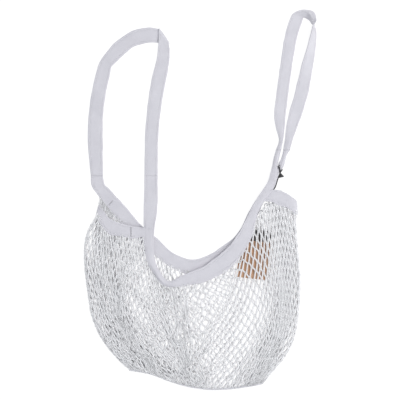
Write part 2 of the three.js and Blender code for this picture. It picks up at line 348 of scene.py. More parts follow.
def tube(points, radius, sides, lobes=0.0, pitch=1.0, squash_z=1.0):
    """Vertices, faces and uv of a closed tube along points, its section lobed as a twisted yarn's is."""
    points = np.asarray(points, float)
    tangent = unit(np.gradient(points, axis=0))
    up = np.tile([0.0, 0.0, 1.0], (len(points), 1))
    side = unit(np.cross(tangent, up))
    top = np.cross(side, tangent)
    s = along(points)
    angle = np.linspace(0, 2 * np.pi, sides, endpoint=False)[None, :]
    turn = 2 * np.pi * s[:, None] / pitch
    r = np.asarray(radius) if np.ndim(radius) else np.full(len(points), radius)
    size = r[:, None] * (1 + lobes * np.cos(2 * (angle - turn)))
    rings = (points[:, None, :] + side[:, None, :] * (size * np.cos(angle))[..., None]
             + top[:, None, :] * (size * np.sin(angle) * squash_z)[..., None])
    vertices = rings.reshape(-1, 3)
    faces = grid_faces(len(points), sides)
    faces.append(tuple(range(sides))[::-1])
    faces.append(tuple((len(points) - 1) * sides + k for k in range(sides)))
    uv = np.stack([np.repeat(s, sides), np.tile(np.arange(sides) / sides, len(points))], axis=1)
    return vertices, faces, uv


def joined(name, tubes):
    """One object from several (vertices, faces, uv)."""
    vertices, faces, uvs, base = [], [], [], 0
    for v, f, uv in tubes:
        vertices.append(v)
        uvs.append(uv)
        faces.extend(tuple(base + k for k in face) for face in f)
        base += len(v)
    return mesh_object(name, np.vstack(vertices), faces, np.vstack(uvs))


def make_cord():
    line = smooth(CORD_ROUTE, 1.0)
    cord = joined("tag_string", [tube(line, CORD_DIAMETER / 2, 10, lobes=0.06, pitch=3.0)])
    dress(cord, STRING, "tag_string", "hang_tag_set", "cord_tie", "tag_cord")
    return cord, line


def make_string_loop():
    """The string's second half beneath the first, passed under the gathered strand and up to the seal."""
    beneath = [(126.4, 51.8, 7.0), (127.2, 48.8, 6.7), (128.2, 44.6, 5.3), (128, 42.4, 4.4)]
    under = [
        (125.8, 53.4, 7.4), (126.5, 54.6, 4.6), (126.8, 54.2, 1.6), (128.4, 52.8, 1.1), (130.6, 49.6, 1.1),
        (131.4, 47.6, 1.8), (131, 46.4, 3.6), (129.8, 45, 4.6), (128.6, 43.4, 4.4),
    ]
    runs = [tube(smooth(points, 0.8), CORD_DIAMETER / 2 * 0.95, 8, lobes=0.06, pitch=3.0)
            for points in (beneath, under)]
    return dress(joined("string_loop", runs), STRING, "tag_string", "hang_tag_set")


def make_seal():
    """A small moulded wedge with a waist ring where the string's ends enter it."""
    low, high = (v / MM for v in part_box("cord_seal"))
    apex = np.array([128.0, high.y + 0.2])
    base_left = np.array([low.x + 0.3, 38.0])
    base_right = np.array([high.x - 0.3, 36.2])
    foot = np.array([129.4, low.y + 0.1])
    middle = (low.z + high.z) / 2
    axis = unit((foot + base_right + base_left) / 3 - apex)
    normal = np.array([-axis[1], axis[0]])
    length = 9.4
    sides = 14
    profile = [(0.0, 0.55, 0.5), (0.08, 0.9, 0.7), (0.2, 0.95, 0.8), (0.26, 0.8, 0.7), (0.34, 1.2, 1.0),
               (0.55, 2.3, 1.3), (0.8, 3.6, 1.45), (0.93, 4.1, 1.4), (0.98, 3.9, 1.1), (1.0, 3.3, 0.7)]
    vertices = []
    for share, wide, thick in profile:
        centre = apex + axis * length * share
        for k in range(sides):
            a = 2 * math.pi * k / sides
            c, s = math.cos(a), math.sin(a)
            p = centre + normal * 1.12 * wide * math.copysign(abs(c) ** 0.8, c)
            vertices.append((p[0], p[1], middle + thick * math.copysign(abs(s) ** 0.6, s)))
    faces = grid_faces(len(profile), sides)
    faces.append(tuple(range(sides))[::-1])
    faces.append(tuple((len(profile) - 1) * sides + k for k in range(sides)))
    seal = mesh_object("cord_seal_moulding", vertices, faces)
    return dress(seal, PLASTIC, "seal_plastic", "hang_tag_set", "cord_seal")


cord, cord_line = make_cord()
seal = make_seal()
tag = frame["nodes"]["hang_tag"]
tag.data.materials.clear()
tag.data.materials.append(CARD)
make_string_loop()

# ---------------------------------------------------------------- tape: edge pairs along the ring
B, F = BACK_TAPE_Z, FRONT_TAPE_Z
HANDLE_LEFT_RISE = [
    (-175, LEFT_HINGE_Y, B, -156, LEFT_HINGE_Y, B), (-179.5, 87, B, -156, 87, B), (-179, 127, B, -156, 130, B),
    (-174, 168, B, -151.5, 168, B), (-167, 200, B, -145.5, 196, B), (-161, 219, B, -142.3, 211.5, B),
    (-152, 233, B, -138.5, 216.5, B), (-138.5, 249, B, -126, 228.5, B), (-124, 260.5, B, -114.5, 239, B),
    (-110, 269.3, B, -104.5, 245.5, B), (-96, 273.3, B, -93, 249, B), (-81, 275, B, -76, 251.3, B),
    (-66.5, 273, B, -50, 249, B),
]
HANDLE_LEFT_FALL = [
    (-66.5, 273, FOLDED_OVER_Z, -50, 249, FOLDED_OVER_Z), (-66.3, 247, 4.2, -48.6, 236, 3.4),
    (-70.3, 220, 2.8, -50, 216, 2.3), (-77, 195, 1.7, -54.5, 193, 1.5), (-82.5, 160, B, -60.5, 160, B),
    (-86, 128, B, -65, 128, B), (-88, 95, B, -67.5, 95, B), (-89, LEFT_HINGE_Y, B, -68, LEFT_HINGE_Y, B),
]
RIM_FRONT = [
    (-89, LEFT_HINGE_Y, B, -68, LEFT_HINGE_Y, B), (-89.5, -9, 4.5, -68, -9, 4.5), (-89.5, -41, F, -72, -41, F),
    (-89, -65, F, -74, -65, F), (-85, -97, F, -72, -96, F), (-74, -118, F, -64, -115, F),
    (-63, -134, F, -55, -128, F), (-50, -139.5, F, -47.5, -130.5, F), (-37, -139.5, F, -37, -126.5, F),
    (-24, -138, F, -25, -120, F), (-8, -135, F, -10, -114, F), (7, -131.5, F, 5, -108, F), (27, -123, F, 20, -97, F),
    (50, -108, F, 37, -84, F), (64, -93, F, 50, -71, F), (76, -73, F, 59, -58, F), (84, -56, F, 65, -49, F),
    (88, -36, F, 72, -35, F), (95, -14, F, 81, -17, F), (107, 4, F, 93, 5, F), (118, 18, F, 102.5, 18, F),
    (122.8, 31, 8.1, 109.6, 31, 8.1), (126, 44, 6, 113.2, 44, 6), (124, 55, 4, 116, 55, 4),
    (126, 64, 2.6, 117.4, 64, 2.6),
    (130, RIGHT_HINGE_Y, B, 122, RIGHT_HINGE_Y, B),
]
HANDLE_RIGHT = [
    (130, RIGHT_HINGE_Y, B, 122, RIGHT_HINGE_Y, B), (133, 95, B, 126.8, 95, B), (135.3, 114, B, 121.8, 114, B),
    (137.4, 136, B, 119.2, 135, B), (141.5, 172, B, 123, 172, B), (148.5, 220, B, 129.8, 220, B),
    (154, 253, B, 134.6, 253, B), (158.5, 271, B, 138.6, 271, B), (163, 282.5, 1.2, 143, 286, 1.6),
    (165.4, 290.5, 1.4, 148.6, 297, 3), (168, 291, 1.7, 157, 301, 5), (172, 288.5, 2, 167, 302.5, 9),
    (176, 285.5, 2.2, 173, 301.5, 13), (178.6, 281.5, 2.3, 175.8, 296.6, 16.5), (180.6, 279.5, 2.4, 177.8, 288.5, 18.8),
    (183, 276.5, 2.4, 180, 281.5, 20), (185.3, 271, 2.3, 177.8, 272.5, 19.8), (186, 263, 2.1, 175.6, 263, 19.2),
    (185.4, 248, 1.9, 172, 248, 17.3), (183.4, 230, 1.6, 167, 231, 14), (180.5, 212, 1.3, 162.3, 213, 9),
    (177, 190, B, 157.3, 193, 4), (172.5, 167, B, 151.8, 170, B), (160, 127, B, 141, 130, B),
    (149, 98, B, 136.4, 99, B), (144, RIGHT_HINGE_Y, B, 133.6, RIGHT_HINGE_Y, B),
]
RIM_BACK = [
    (144, RIGHT_HINGE_Y, B, 133.6, RIGHT_HINGE_Y, B), (139, 71, B, 132, 71, B), (136.6, 63, 1.5, 129.6, 63, 1.5),
    (135.3, 56.5, 2.2, 126.2, 58, 2.2), (133, 50.5, 2.4, 125.6, 54, 2.4), (128, 44, 2.2, 123, 48, 2.2),
    (122, 34, B, 115, 38, B), (115, 20, B, 107, 24, B), (106, 4, B, 97, 10, B), (93, -24, B, 79, -19, B),
    (82, -52, B, 67, -44, B), (69, -72, B, 56, -60, B), (51, -89, B, 40, -72, B), (29, -105, B, 20, -86, B),
    (6, -114, B, 3, -94, B), (-16, -120.5, B, -13, -97, B), (-36, -114.5, B, -31, -92, B),
    (-56, -102.5, B, -48, -83, B),
    (-88, -76, B, -73, -59, B), (-109, -57, B, -93, -43, B), (-128, -38, B, -108, -26, B), (-143, -24, B, -122, -9, B), (-157, -9, B, -137, 7, B),
    (-162.5, 5, B, -147, 18, B), (-173, 21, B, -153, 24, B), (-175, LEFT_HINGE_Y, B, -156, LEFT_HINGE_Y, B),
]
BAND_LEFT = [
    (-159.5, -9, 1.4, -163, -23, 1.6), (-162.5, -10.5, 3.6, -166, -26, 4.4), (-159, -13, 7, -163.5, -33, 8),
    (-153, -20, F, -155, -44, F), (-144, -31, F, -144, -56, F),
    (-131, -37, F, -131, -58, F), (-110, -43, F, -109, -62, F), (-92, -45, F, -92, -60, F),
    (-82, -46, F - 1.2, -82, -60, F - 1.2),
]
BAND_RIGHT = [
    (108, 14, F - 1.6, 100, -3, F - 1.6), (121, 15, F, 113, -4, F), (134, 11, F, 127, -10, F),
    (144, 5.5, F, 140, -14, F), (151.5, 0, 7, 150, -21.5, F), (155, -6, 4, 155.2, -25, 6),
    (152, -8, 1.4, 152.5, -26, 2.2),
]
TAPE_STEP = 2.2

# Half section of the folded tape, as shares of its half width and half thickness.
SECTION = [
    (-1.0, 0.0), (-0.985, 0.5), (-0.94, 0.86), (-0.86, 0.98), (-0.76, 0.93), (-0.7, 0.78), (-0.64, 0.93),
    (-0.5, 1.0), (-0.25, 1.0), (0.0, 0.97), (0.25, 1.0), (0.5, 1.0), (0.64, 0.93), (0.7, 0.78), (0.76, 0.93),
    (0.86, 0.98), (0.94, 0.9), (0.985, 0.66), (1.0, 0.45), (0.965, 0.0),
]


def value_noise(x, seed, size):
    """Smooth one-dimensional noise between -1 and 1, with bumps about that size."""
    table = np.random.default_rng(seed).uniform(-1, 1, 4096)
    t = np.asarray(x) / size
    i = np.floor(t).astype(int)
    f = t - i
    f = f * f * (3 - 2 * f)
    return table[i % 4096] * (1 - f) + table[(i + 1) % 4096] * f


def wrap_of(rise_end, fall_start):
    """The row half way round a fold, standing out from the fold line."""
    left, right = np.array(rise_end[:3]), np.array(rise_end[3:])
    radius = (FOLDED_OVER_Z - B) / 2
    line = right - left
    outward = unit(np.array([-line[1], line[0], 0.0])) * radius
    outward[2] = radius
    if outward[0] < 0:
        outward[:2] *= -1
    return np.concatenate([left + outward, right + outward])


def tape_path(rows):
    return smooth(rows, TAPE_STEP)


def left_loop_path():
    rise = tape_path(HANDLE_LEFT_RISE)
    fall = tape_path(HANDLE_LEFT_FALL)
    return np.vstack([rise, wrap_of(HANDLE_LEFT_RISE[-1], HANDLE_LEFT_FALL[0])[None], fall])


def frames_of(path):
    """Middle line, across, along and up vectors of a path of edge pairs."""
    left, right = path[:, :3], path[:, 3:]
    middle = (left + right) / 2
    across = right - left
    width = np.linalg.norm(across, axis=1)
    tangent = np.gradient(middle, axis=0)
    up = unit(np.cross(across, tangent))
    return middle, unit(across), width, up


RIDGE = -0.2  # where across a gathered tape its lengthwise crease runs
CROWN_LIMIT = 2.8
FLAT_WIDTH = 17.0  # tape narrower than this has been pinched
SELVEDGE = 0.2  # how far the soft edge stands out past the folded core


def crown_of(width):
    """How high a tape buckles where it is pinched to less than its flat width."""
    pinch = np.clip((FLAT_WIDTH - width) / 8.0, 0, 1)
    return CROWN_LIMIT * pinch * pinch * (3 - 2 * pinch)


def roof_of(share):
    """Height of the lengthwise crease at a share of the half width, from 0 at the edges to 1."""
    return 1 - np.abs(share - RIDGE) / np.where(share < RIDGE, 1 + RIDGE, 1 - RIDGE)


# Ridges where the tape has been folded before: points of the line, height and reach.
TAPE_CREASES = [
    ([(-64, 187), (-71, 177), (-79, 163)], 0.5, 3.5),
    ([(-66, 4), (-74, -10), (-82, -30), (-86, -44)], 0.8, 3.5),
    ([(-78, -50), (-77.5, -80), (-74, -100), (-64, -119), (-55, -131)], 0.9, 4.0),
    ([(113, 34), (104, 14), (96, -5), (87, -24), (82, -40)], 1.0, 4.5),
    ([(-160, 120), (-165, 100), (-166, 84)], 0.5, 4.0),
    ([(-150, 8), (-140, 0), (-126, -8), (-112, -22)], 0.7, 4.0),
    ([(136, 205), (143, 236), (146, 256)], 0.5, 4.0),
    ([(160, 150), (172, 196), (176, 220)], 0.5, 4.0),
    ([(-8, -124), (16, -114), (38, -98)], 0.5, 4.5),
]
LIP_PLACE, LIP_REACH, LIP_START, LIP_TURN = (175.0, 295.0), 15.0, 0.3, math.radians(78)


def crease_of(places):
    """Extra height of the tape's surface at places in the plane."""
    high = np.zeros(places.shape[:-1])
    for points, height, reach in TAPE_CREASES:
        line = smooth(points, 2.0)
        gap = np.linalg.norm(places[..., None, :] - line, axis=-1)
        nearest = np.argmin(gap, axis=-1) / (len(line) - 1)
        fade = np.clip(8 * np.minimum(nearest, 1 - nearest) + 0.15, 0, 1)
        high = np.maximum(high, height * fade * np.exp(-gap.min(axis=-1) / reach))
    return high


def lip_of(places, share, half_width):
    """The right loop's standing edge turns outward at the top: how far it goes up and how far back."""
    near = np.exp(-(np.linalg.norm(places - LIP_PLACE, axis=-1) / LIP_REACH) ** 4)
    past = half_width * np.maximum(share - LIP_START, 0)
    return past * np.sin(near * LIP_TURN), past * (1 - np.cos(near * LIP_TURN))


def tape_surface(path, start, seed):
    """Rings of the tape's section along a path; start is the length of tape before it."""
    middle, across, width, up = frames_of(path)
    s = along(middle) + start
    top = np.array(SECTION)
    bottom = top[-2:0:-1] * [1, -1]
    loop = np.vstack([top, bottom])
    a = loop[:, 0][None, :]
    b = loop[:, 1][None, :]
    slanted = s[:, None] + 9 * a
    ripple = 0.42 * value_noise(slanted, seed, 17) + 0.14 * value_noise(slanted - 20 * a, seed + 1, 6)
    edge = 0.35 * value_noise(s, seed + 2, 9)[:, None] * (a > 0) + 0.3 * value_noise(s, seed + 3, 11)[:, None] * (a < 0)
    cup = 0.5 * (a ** 2 - 0.4) * value_noise(s, seed + 4, 30)[:, None]
    off_table = np.where(up[:, 2] < 0, -1.0, 1.0)[:, None]
    lift = (np.maximum(ripple + cup, -0.05) + crown_of(width)[:, None] * roof_of(a)) * off_table
    flat = (width / 2 + SELVEDGE)[:, None] * a + edge * np.abs(a)
    places = (middle[:, None, :] + across[:, None, :] * flat[..., None])[..., :2]
    lip, back = lip_of(places, a, (width / 2)[:, None])
    lift += crease_of(places) * off_table + lip
    flat -= back
    high = TAPE_THICKNESS / 2 * 0.92 * b + lift
    rings = (middle[:, None, :] + across[:, None, :] * flat[..., None] + up[:, None, :] * high[..., None])
    uv = np.stack([np.repeat(s, len(loop)), (flat + np.where(b > 0, 0, 40)).ravel()], axis=1)
    return rings, uv, s


def tape_object(name, path, start, seed):
    rings, uv, s = tape_surface(path, start, seed)
    n, sides = rings.shape[:2]
    faces = grid_faces(n, sides)
    faces.append(tuple(range(sides)))
    faces.append(tuple((n - 1) * sides + k for k in range(sides))[::-1])
    vertices = rings.reshape(-1, 3)
    vertices[:, 2] = np.maximum(vertices[:, 2], 0.03)
    return mesh_object(name, vertices, faces, uv)


def stitch_row(path, share, side, seed):
    """Lock stitches lying in the tape's groove: share of the half width, on the top (1) or bottom (-1)."""
    middle, across, width, up = frames_of(path)
    off_table = np.where(up[:, 2] < 0, -1.0, 1.0)
    rise = crown_of(width) * roof_of(share) * off_table + side * TAPE_THICKNESS / 2 * 0.74
    line = middle + across * ((width / 2 + SELVEDGE) * share)[:, None] + up * rise[:, None]
    s = along(line)
    count = int(s[-1] / STITCH_PITCH)
    jitter = np.random.default_rng(seed)
    shapes = []
    for k in range(count):
        ends = (k + 0.12 + 0.05 * jitter.random()) * STITCH_PITCH, (k + 0.86) * STITCH_PITCH
        t = np.linspace(*ends, 4)
        points = np.stack([np.interp(t, s, line[:, c]) for c in range(3)], axis=1)
        ups = np.stack([np.interp(t, s, up[:, c]) for c in range(3)], axis=1)
        points += ups * side * np.array([-0.15, 0.22, 0.22, -0.15])[:, None]
        points[:, 2] = np.maximum(points[:, 2], 0.3)
        shapes.append(tube(points, np.array([0.2, 0.3, 0.3, 0.2]), 6))
    return shapes


ring_paths = {
    "left": left_loop_path(),
    "front": tape_path(RIM_FRONT),
    "right": tape_path(HANDLE_RIGHT),
    "back": tape_path(RIM_BACK),
}
starts, total = {}, 0.0
for key, path in ring_paths.items():
    starts[key] = total
    total += along((path[:, :3] + path[:, 3:]) / 2)[-1]

left_tape = tape_object("left_handle_tape", ring_paths["left"], starts["left"], 11)
dress(left_tape, TAPE, "cotton_tape", None, "handle_left")
front_tape = tape_object("front_rim_tape", ring_paths["front"], starts["front"], 11)
dress(front_tape, TAPE, "cotton_tape", "bag", "rim_front")
right_tape = tape_object("right_handle_tape", ring_paths["right"], starts["right"], 11)
dress(right_tape, TAPE, "cotton_tape", None, "handle_right")
back_tape = tape_object("back_rim_tape", ring_paths["back"], starts["back"], 11)
dress(back_tape, TAPE, "cotton_tape", "bag", "rim_back")
band_left_path = tape_path(BAND_LEFT)
band_right_path = tape_path(BAND_RIGHT)
band_left = tape_object("left_band_tape", band_left_path, 0.0, 51)
dress(band_left, TAPE, "cotton_tape", "bag", "band_left")
band_right = tape_object("right_band_tape", band_right_path, 0.0, 61)
dress(band_right, TAPE, "cotton_tape", "bag", "band_right")

LEFT_BEND = ((-0.122, LEFT_HINGE_Y * MM, 0.002), (-0.122, (LEFT_HINGE_Y + 34) * MM, 0.002))
RIGHT_BEND = ((0.132, RIGHT_HINGE_Y * MM, 0.002), (0.132, (RIGHT_HINGE_Y + 26) * MM, 0.002))


def stitched(name, keys, body, bend=None):
    shapes = []
    for key, path in keys:
        for share in (-0.7, 0.7):
            for side in (1, -1):
                shapes += stitch_row(path, share, side, 70)
    stitches = joined(name, shapes)
    dress(stitches, THREAD, "cotton_thread", None if bend else body)
    if bend:
        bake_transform(stitches)
    return stitches


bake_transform(left_tape)
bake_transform(right_tape)
stitched("left_handle_stitches", [("left", ring_paths["left"])], "left_handle", LEFT_BEND)
stitched("right_handle_stitches", [("right", ring_paths["right"])], "right_handle", RIGHT_BEND)
stitched("rim_stitches", [("front", ring_paths["front"]), ("back", ring_paths["back"]),
                          ("band", band_left_path), ("band", band_right_path)], "bag")


# ---------------------------------------------------------------- bar tacks
def bar_tack(name, node):
    """Zigzag thread worked closely over a core, on the place of its CAD pad."""
    low, high = (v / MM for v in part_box(node))
    centre = (low + high) / 2
    size = high - low
    slant = {"bar_tack_left_back": (1, 1.1), "bar_tack_right_back": (1, 1.7)}.get(node)
    if slant:
        direction = unit(np.array([slant[0], slant[1], 0.0]))
        length = math.hypot(size.x, size.y) * 0.85
    else:
        direction = np.array([1.0, 0, 0]) if size.x > size.y else np.array([0, 1.0, 0])
        length = max(size.x, size.y)
    side = np.array([-direction[1], direction[0], 0.0])
    turns = int(length / 0.62)
    zigzag = []
    for k in range(turns * 2 + 1):
        across = side * (1.0 if k % 2 else -1.0)
        zigzag.append(np.array([centre.x, centre.y, low.z - 0.62]) + direction * (k / (2 * turns) - 0.5) * length + across)
    dense = []
    for a, b in zip(zigzag[:-1], zigzag[1:]):
        for t in (0.0, 0.25, 0.5, 0.75):
            p = a * (1 - t) + b * t
            dense.append(p + [0, 0, 0.2 * math.sin(math.pi * t)])
    dense.append(zigzag[-1])
    tack = joined(name, [tube(np.array(dense), 0.2, 6)])
    return dress(tack, THREAD, "cotton_thread", "bag", node)


for node in ("bar_tack_left_back", "bar_tack_left_front", "bar_tack_right_front", "bar_tack_right_back", "band_join"):
    bar_tack(node + "_thread", node)

# ---------------------------------------------------------------- the net
# Guides run from the mouth to the seam; the number is how many meshes lie between a guide and the next.
LEFT_FOLD = [(-163.5, -22), (-166, -29.5), (-171, -36), (-176.5, -45), (-180.5, -56), (-184.2, -72),
             (-184.3, -103), (-182, -128), (-178.8, -150), (-174.5, -180), (-165.5, -206), (-154, -227),
             (-134, -252), (-113, -272)]
RIGHT_FOLD = [(154, -17), (153, -36), (154.5, -58), (158, -100), (160, -129), (158, -172), (151.5, -217), (137.5, -249),
              (122, -268), (101, -293)]
BACK_LEFT_FOLD = [(-160, 3), (-162, -9)] + LEFT_FOLD
BACK_RIGHT_FOLD = [(152, -2), (153.5, -16)] + RIGHT_FOLD[1:]
FRONT_GUIDES = [
    (LEFT_FOLD, 8),
    ([(-136, -53), (-141, -97), (-142, -145), (-134, -193), (-114, -236), (-91, -264), (-80, -278)], 7),
    ([(-90, -58), (-95, -87), (-104, -113), (-109, -137), (-118, -161), (-115, -193), (-95, -231), (-66, -268),
      (-50, -289)], 6),
    ([(-64, -133), (-64, -161), (-58, -201), (-46, -241), (-34, -274), (-24, -297)], 8),
    ([(-12, -133), (-8, -177), (-4, -225), (-2, -265), (-2, -301)], 3),
    ([(22, -124), (22, -161), (22, -209), (20, -257), (18, -303)], 3),
    ([(60, -92), (64, -137), (66, -193), (60, -249), (46, -302)], 4),
    ([(90, -26), (98, -73), (109, -145), (107, -209), (90, -257), (71, -299)], 6),
    ([(125, -4), (135, -65), (141, -137), (138, -193), (119, -241), (89, -296)], 4),
    (RIGHT_FOLD, 0),
]
BACK_GUIDES = [
    (BACK_LEFT_FOLD, 8),
    ([(-141, -20), (-147, -81), (-147, -145), (-138, -196), (-117, -238), (-92, -266), (-80, -278)], 7),
    ([(-109, -50), (-115, -100), (-118, -161), (-108, -209), (-83, -250), (-50, -289)], 6),
    ([(-70, -90), (-75, -137), (-74, -177), (-62, -222), (-40, -265), (-24, -297)], 8),
    ([(-20, -114), (-16, -153), (-10, -201), (-5, -244), (-2, -281), (-2, -301)], 3),
    ([(16, -110), (20, -161), (22, -209), (20, -257), (18, -303)], 3),
    ([(53, -88), (61, -137), (66, -193), (60, -249), (46, -302)], 4),
    ([(86, -38), (96, -89), (108, -153), (107, -209), (90, -257), (71, -299)], 6),
    ([(122, 14), (133, -57), (141, -137), (137, -196), (118, -241), (88, -296)], 4),
    (BACK_RIGHT_FOLD, 0),
]
# Soft creases, as lines that the meshes are drawn towards: points, reach and pull.
FRONT_CREASES = [
    ([(-93, -68), (-96, -89), (-104, -113), (-109, -137), (-119, -161), (-122, -176)], 9.0, 0.5),
    ([(-117, -75), (-114, -99), (-115, -113)], 7.0, 0.4),
    ([(-30, -136), (-22, -160), (-20, -176)], 12.0, 0.35),
    ([(-38, -165), (-34, -205), (-40, -235)], 14.0, 0.4),
    ([(52, -196), (66, -178), (84, -174)], 9.0, 0.5),
    ([(98, -140), (106, -180), (100, -220)], 8.0, 0.4),
    ([(90, -36), (103, -62), (104, -90), (99, -122)], 9.0, 0.55),
    ([(78, -72), (88, -56), (100, -46)], 7.0, 0.45),
    ([(30, -176), (52, -170), (70, -186)], 9.0, 0.5),
    ([(22, -222), (44, -228), (62, -222)], 9.0, 0.5),
]
# Where the open meshes of both layers have settled over each other: place and half widths.
OPEN_PLACES = [(64, -150, 32, 24), (46, -200, 40, 26), (62, -256, 26, 32), (20, -236, 18, 18),
               (-72, -153, 16, 16), (-95, -190, 16, 24)]
BACK_CREASES = [
    ([(-60, -130), (-66, -170), (-50, -220)], 10.0, 0.4),
    ([(20, -150), (10, -200), (28, -250)], 10.0, 0.4),
    ([(88, -80), (96, -150), (92, -210)], 10.0, 0.35),
]


def columns_of(guides):
    """Every mesh column's line from the mouth to the seam, blended between the guides."""
    shares = np.linspace(0, 1, 121)
    lines = [at_shares(smooth(g, 4.0), shares) for g, _ in guides]
    places = np.concatenate([[0], np.cumsum([n for _, n in guides[:-1]])]).astype(float)
    return np.array(lines), places, shares


def on_net(guides, column, row_share):
    """Places in the plane for column numbers and shares of the way down, both arrays of one shape."""
    lines, places, shares = columns_of(guides)
    m = len(places)
    k = np.clip(np.searchsorted(places, column, side="right") - 1, 0, m - 2)
    t = (column - places[k]) / (places[k + 1] - places[k])
    at = row_share * (len(shares) - 1)
    low = np.clip(np.floor(at).astype(int), 0, len(shares) - 2)
    f = (at - low)[..., None]

    def line(index):
        index = np.clip(index, 0, m - 1)
        return lines[index, low] * (1 - f) + lines[index, low + 1] * f

    p0, p1, p2, p3 = line(k - 1), line(k), line(k + 1), line(k + 2)
    gap = lambda a, b: np.maximum(places[np.clip(b, 0, m - 1)] - places[np.clip(a, 0, m - 1)], 1e-6)[..., None]
    width = gap(k, k + 1)
    m1 = np.where((k > 0)[..., None], (p2 - p0) / gap(k - 1, k + 1), (p2 - p1) / width)
    m2 = np.where((k < m - 2)[..., None], (p3 - p1) / gap(k, k + 2), (p2 - p1) / width)
    t = t[..., None]
    h = [2 * t ** 3 - 3 * t ** 2 + 1, t ** 3 - 2 * t ** 2 + t, -2 * t ** 3 + 3 * t ** 2, t ** 3 - t ** 2]
    return h[0] * p1 + h[1] * width * m1 + h[2] * p2 + h[3] * width * m2


def field_noise(p, seed, size):
    """Smooth two-dimensional noise of about unit size at points in the plane."""
    r = np.random.default_rng(seed)
    total = np.zeros(len(p))
    for _ in range(9):
        angle, phase = r.uniform(0, 2 * np.pi, 2)
        wave = 2 * np.pi / (size * r.uniform(0.7, 1.5))
        total += np.sin(wave * (p[:, 0] * math.cos(angle) + p[:, 1] * math.sin(angle)) + phase)
    return total / 3


class Net:
    """One layer of the tube: knots in offset rows, joined by yarn of a set length."""

    def __init__(self, guides, creases, seed, fold_shares, over=None):
        self.count = int(sum(n for _, n in guides))
        self.index, columns, rows = {}, [], []
        for j in range(ROWS + 1):
            for i in range(self.count + 1 - j % 2):
                column = i + 0.5 * (j % 2)
                if j % 2 and i == 0:
                    column = fold_shares[0]
                if j % 2 and i == self.count - 1:
                    column = self.count - fold_shares[1]
                self.index[(i, j)] = len(columns)
                columns.append(column)
                rows.append(j)
        columns, rows = np.array(columns), np.array(rows)
        self.columns, self.rows = columns, rows
        share = rows / ROWS
        self.plane = on_net(guides, columns, share + 0.04 * np.sin(np.pi * share))
        self.pinned = (rows == 0) | (rows == ROWS) | (columns < 0.45) | (columns > self.count - 0.45)
        self.links = []
        for (i, j), a in self.index.items():
            if j == ROWS:
                continue
            for step in ((0, 1) if j % 2 else (-1, 0)):
                b = self.index.get((i + step, j + 1))
                if b is not None:
                    self.links.append((a, b))
        self.links = np.array(self.links)
        self.shake(creases, seed)
        if over is not None:
            self.settle_over(over)
        self.relax()

    def shake(self, creases, seed):
        """Small disorder, then soft creases that gather the meshes along lines."""
        free = ~self.pinned
        p = self.plane
        jitter = np.random.default_rng(seed).normal(0, 1.0, p.shape)
        drift = np.stack([field_noise(p, seed + 1, 34), field_noise(p, seed + 2, 40)], axis=1)
        p[free] += (1.1 * jitter + 3.6 * drift)[free]
        for points, reach, pull in creases:
            line = smooth(points, 2.0)
            gap = line[None] - p[:, None]
            nearest = np.argmin((gap ** 2).sum(-1), axis=1)
            offset = gap[np.arange(len(p)), nearest]
            size = np.linalg.norm(offset, axis=1)
            weight = pull * np.exp(-(size / (1.6 * reach)) ** 2)
            p[free] += (offset * weight[:, None])[free]

    def settle_over(self, other):
        """In the open places this layer's knots come to lie under the same ones of the other."""
        free = ~self.pinned
        p = self.plane
        pull = np.zeros(len(p))
        for x, y, wide, high in OPEN_PLACES:
            pull = np.maximum(pull, np.exp(-((p[:, 0] - x) / wide) ** 4 - ((p[:, 1] - y) / high) ** 4))
        p[free] += ((other.plane - p) * 0.93 * pull[:, None])[free]

    def relax(self, passes=90):
        """Yarn can't stretch, and knots can't sit in each other."""
        p, free = self.plane, (~self.pinned).astype(float)
        a, b = self.links.T
        near = np.array([(self.index[(i, j)], self.index[(i + 1, j)])
                         for (i, j) in self.index if (i + 1, j) in self.index])
        for _ in range(passes):
            for first, second, shortest, longest in ((a, b, 3.2, YARN_PER_SIDE * 0.985), (near[:, 0], near[:, 1], 3.0, 1e9)):
                d = p[second] - p[first]
                size = np.maximum(np.linalg.norm(d, axis=1), 1e-6)
                wanted = np.clip(size, shortest, longest)
                weight = np.maximum(free[first] + free[second], 1e-6)
                move = d * ((size - wanted) / size / weight * 0.45)[:, None]
                np.add.at(p, first, move * free[first][:, None])
                np.add.at(p, second, -move * free[second][:, None])

    def lift(self, base, swell, seed, edge_z, mouth_z, seam_z):
        """Heights of the knots: base plus swell, meeting the folds, mouth tape and seam at theirs."""
        p = self.plane
        inward = np.minimum(self.columns, self.count - self.columns)
        z = base + swell * field_noise(p, seed, 26) + 0.25 * np.random.default_rng(seed).normal(0, 1, len(p))
        fold = np.clip(inward / 2.2, 0, 1) ** 0.6
        z = edge_z * (1 - fold) + z * fold
        top = np.clip(self.rows / 3.0, 0, 1)
        z = mouth_z * (1 - top) + z * top
        bottom = np.clip((ROWS - self.rows) / 3.0, 0, 1)
        z = seam_z * (1 - bottom) + z * bottom
        self.points = np.column_stack([p, z])


def yarn_side(a, b, slack_turn, sag, room):
    """Points along one side of a mesh, bowed by the yarn that is left over where there is room."""
    chord = np.linalg.norm(b - a)
    spare = max(YARN_PER_SIDE - chord, 0.0)
    bow = min(math.sqrt(3 * chord * spare / 8), 2.3) * room
    d = unit(b - a)
    side = np.array([-d[1], d[0], 0.0]) * slack_turn
    shares = np.array([0.25, 0.5, 0.75])[:, None]
    return a + (b - a) * shares + side * bow * np.sin(np.pi * shares) + np.array([0, 0, sag]) * bow * np.sin(np.pi * shares)


